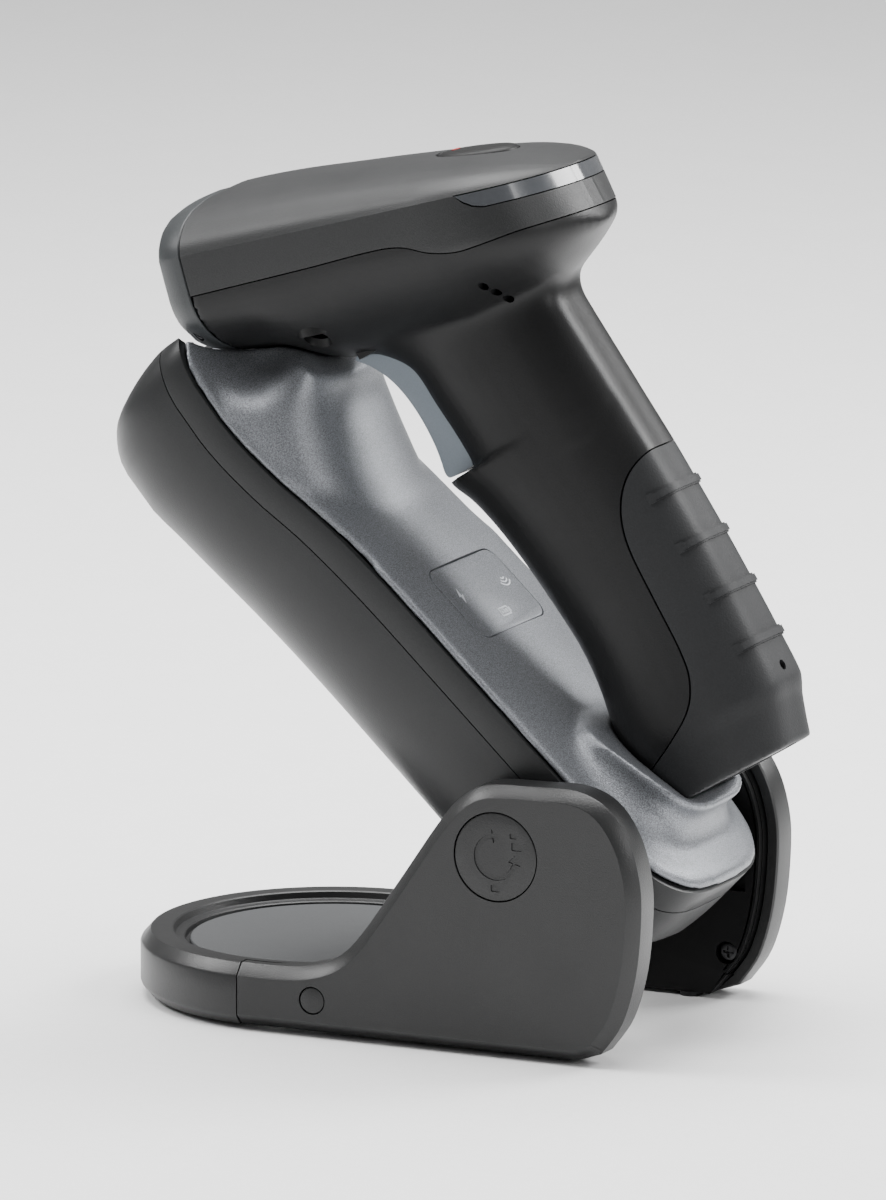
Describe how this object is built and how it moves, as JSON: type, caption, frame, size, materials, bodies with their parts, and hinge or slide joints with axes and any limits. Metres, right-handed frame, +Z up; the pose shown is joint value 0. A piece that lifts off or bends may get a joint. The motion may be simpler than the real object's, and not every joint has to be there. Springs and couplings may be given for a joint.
{
  "type": "handheld barcode scanner in tilting charging stand",
  "caption": "Cordless pistol-grip barcode scanner resting in a tilting charging arm hinged between two ears on a round weighted base.",
  "frame": {"origin": "on the floor under the centre of the round dish, at the bottom of the middle foot pad", "axes": "+Z up, the scanner's nose points to -X, the ears of the stand are at the +X end, Y = 0 is the plane of symmetry"},
  "size_m": [0.1899, 0.1, 0.2283],
  "materials": {
    "charcoal_moulding": "fine satin grain",
    "black_moulding": "satin",
    "soft_rubber": "matt",
    "bright_steel": "satin",
    "graphite_moulding": "fine metallic satin",
    "copper_winding": "enamelled copper wire",
    "board_green": "circuit board",
    "smoky_light_guide": "gloss",
    "tinted_glass": "polished",
    "blue_grey_moulding": "satin"
  },
  "bodies": {
    "base": {"base_ring": "charcoal_moulding", "side_cover_near": "charcoal_moulding", "side_cover_far": "charcoal_moulding", "pivot_cap_near": "charcoal_moulding", "pivot_cap_far": "charcoal_moulding", "side_plug_near": "charcoal_moulding", "side_plug_far": "charcoal_moulding", "base_floor": "black_moulding", "inlet_socket": "black_moulding", "side_liner_near": "black_moulding", "side_liner_far": "black_moulding", "dish_mat": "soft_rubber", "foot_1": "soft_rubber", "foot_2": "soft_rubber", "foot_3": "soft_rubber", "foot_4": "soft_rubber", "foot_5": "soft_rubber", "ballast_plate": "bright_steel", "liner_screw_near": "bright_steel", "liner_screw_far": "bright_steel", "pivot_pin_near": "bright_steel", "pivot_pin_far": "bright_steel", "friction_ring_near": "bright_steel", "friction_ring_far": "bright_steel"},
    "arm": {"arm_belly": "charcoal_moulding", "arm_band": "charcoal_moulding", "arm_shell": "graphite_moulding", "status_panel": "graphite_moulding", "charging_coil": "copper_winding", "arm_board": "board_green", "arm_screw_1": "bright_steel", "arm_screw_2": "bright_steel"},
    "scanner": {"main_housing": "charcoal_moulding", "top_cover": "charcoal_moulding", "light_strip": "smoky_light_guide", "nose_bezel": "charcoal_moulding", "scan_window": "tinted_glass", "window_gasket": "soft_rubber", "grip_overmould": "soft_rubber", "bottom_cap": "charcoal_moulding", "imager_body": "black_moulding", "lens_barrel": "black_moulding", "led_board": "board_green", "main_board": "board_green", "button_switch": "black_moulding", "beeper": "black_moulding", "vibration_motor": "bright_steel", "battery": "blue_grey_moulding", "battery_spring": "bright_steel", "receiver_coil": "copper_winding", "trigger_pin": "bright_steel", "trigger_spring": "bright_steel", "trigger_switch": "black_moulding", "case_screw_near": "bright_steel", "case_screw_far": "bright_steel"},
    "trigger": {"trigger": "blue_grey_moulding"},
    "top_button": {"top_button": "black_moulding"}
  },
  "joints": [
    {"name": "arm_tilt", "type": "hinge", "parent": "base", "child": "arm", "pos_m": [0.0706, 0, 0.0529], "axis": [0, 1, 0], "range_deg": [-30, 40]},
    {"name": "scanner_lift", "type": "slide", "parent": "arm", "child": "scanner", "axis": [0.6884, 0, 0.7254], "range_m": [0, 0.12]},
    {"name": "trigger_pull", "type": "hinge", "parent": "scanner", "child": "trigger", "pos_m": [0.01504, 0, 0.17546], "axis": [0, -1, 0], "range_deg": [0, 6], "stiffness_Nm_per_rad": 0.8, "deforming": ["trigger_spring"]},
    {"name": "button_press", "type": "slide", "parent": "scanner", "child": "top_button", "axis": [0.2419, 0, -0.9703], "range_m": [0, 0.0008], "stiffness_N_per_m": 2000}
  ]
}
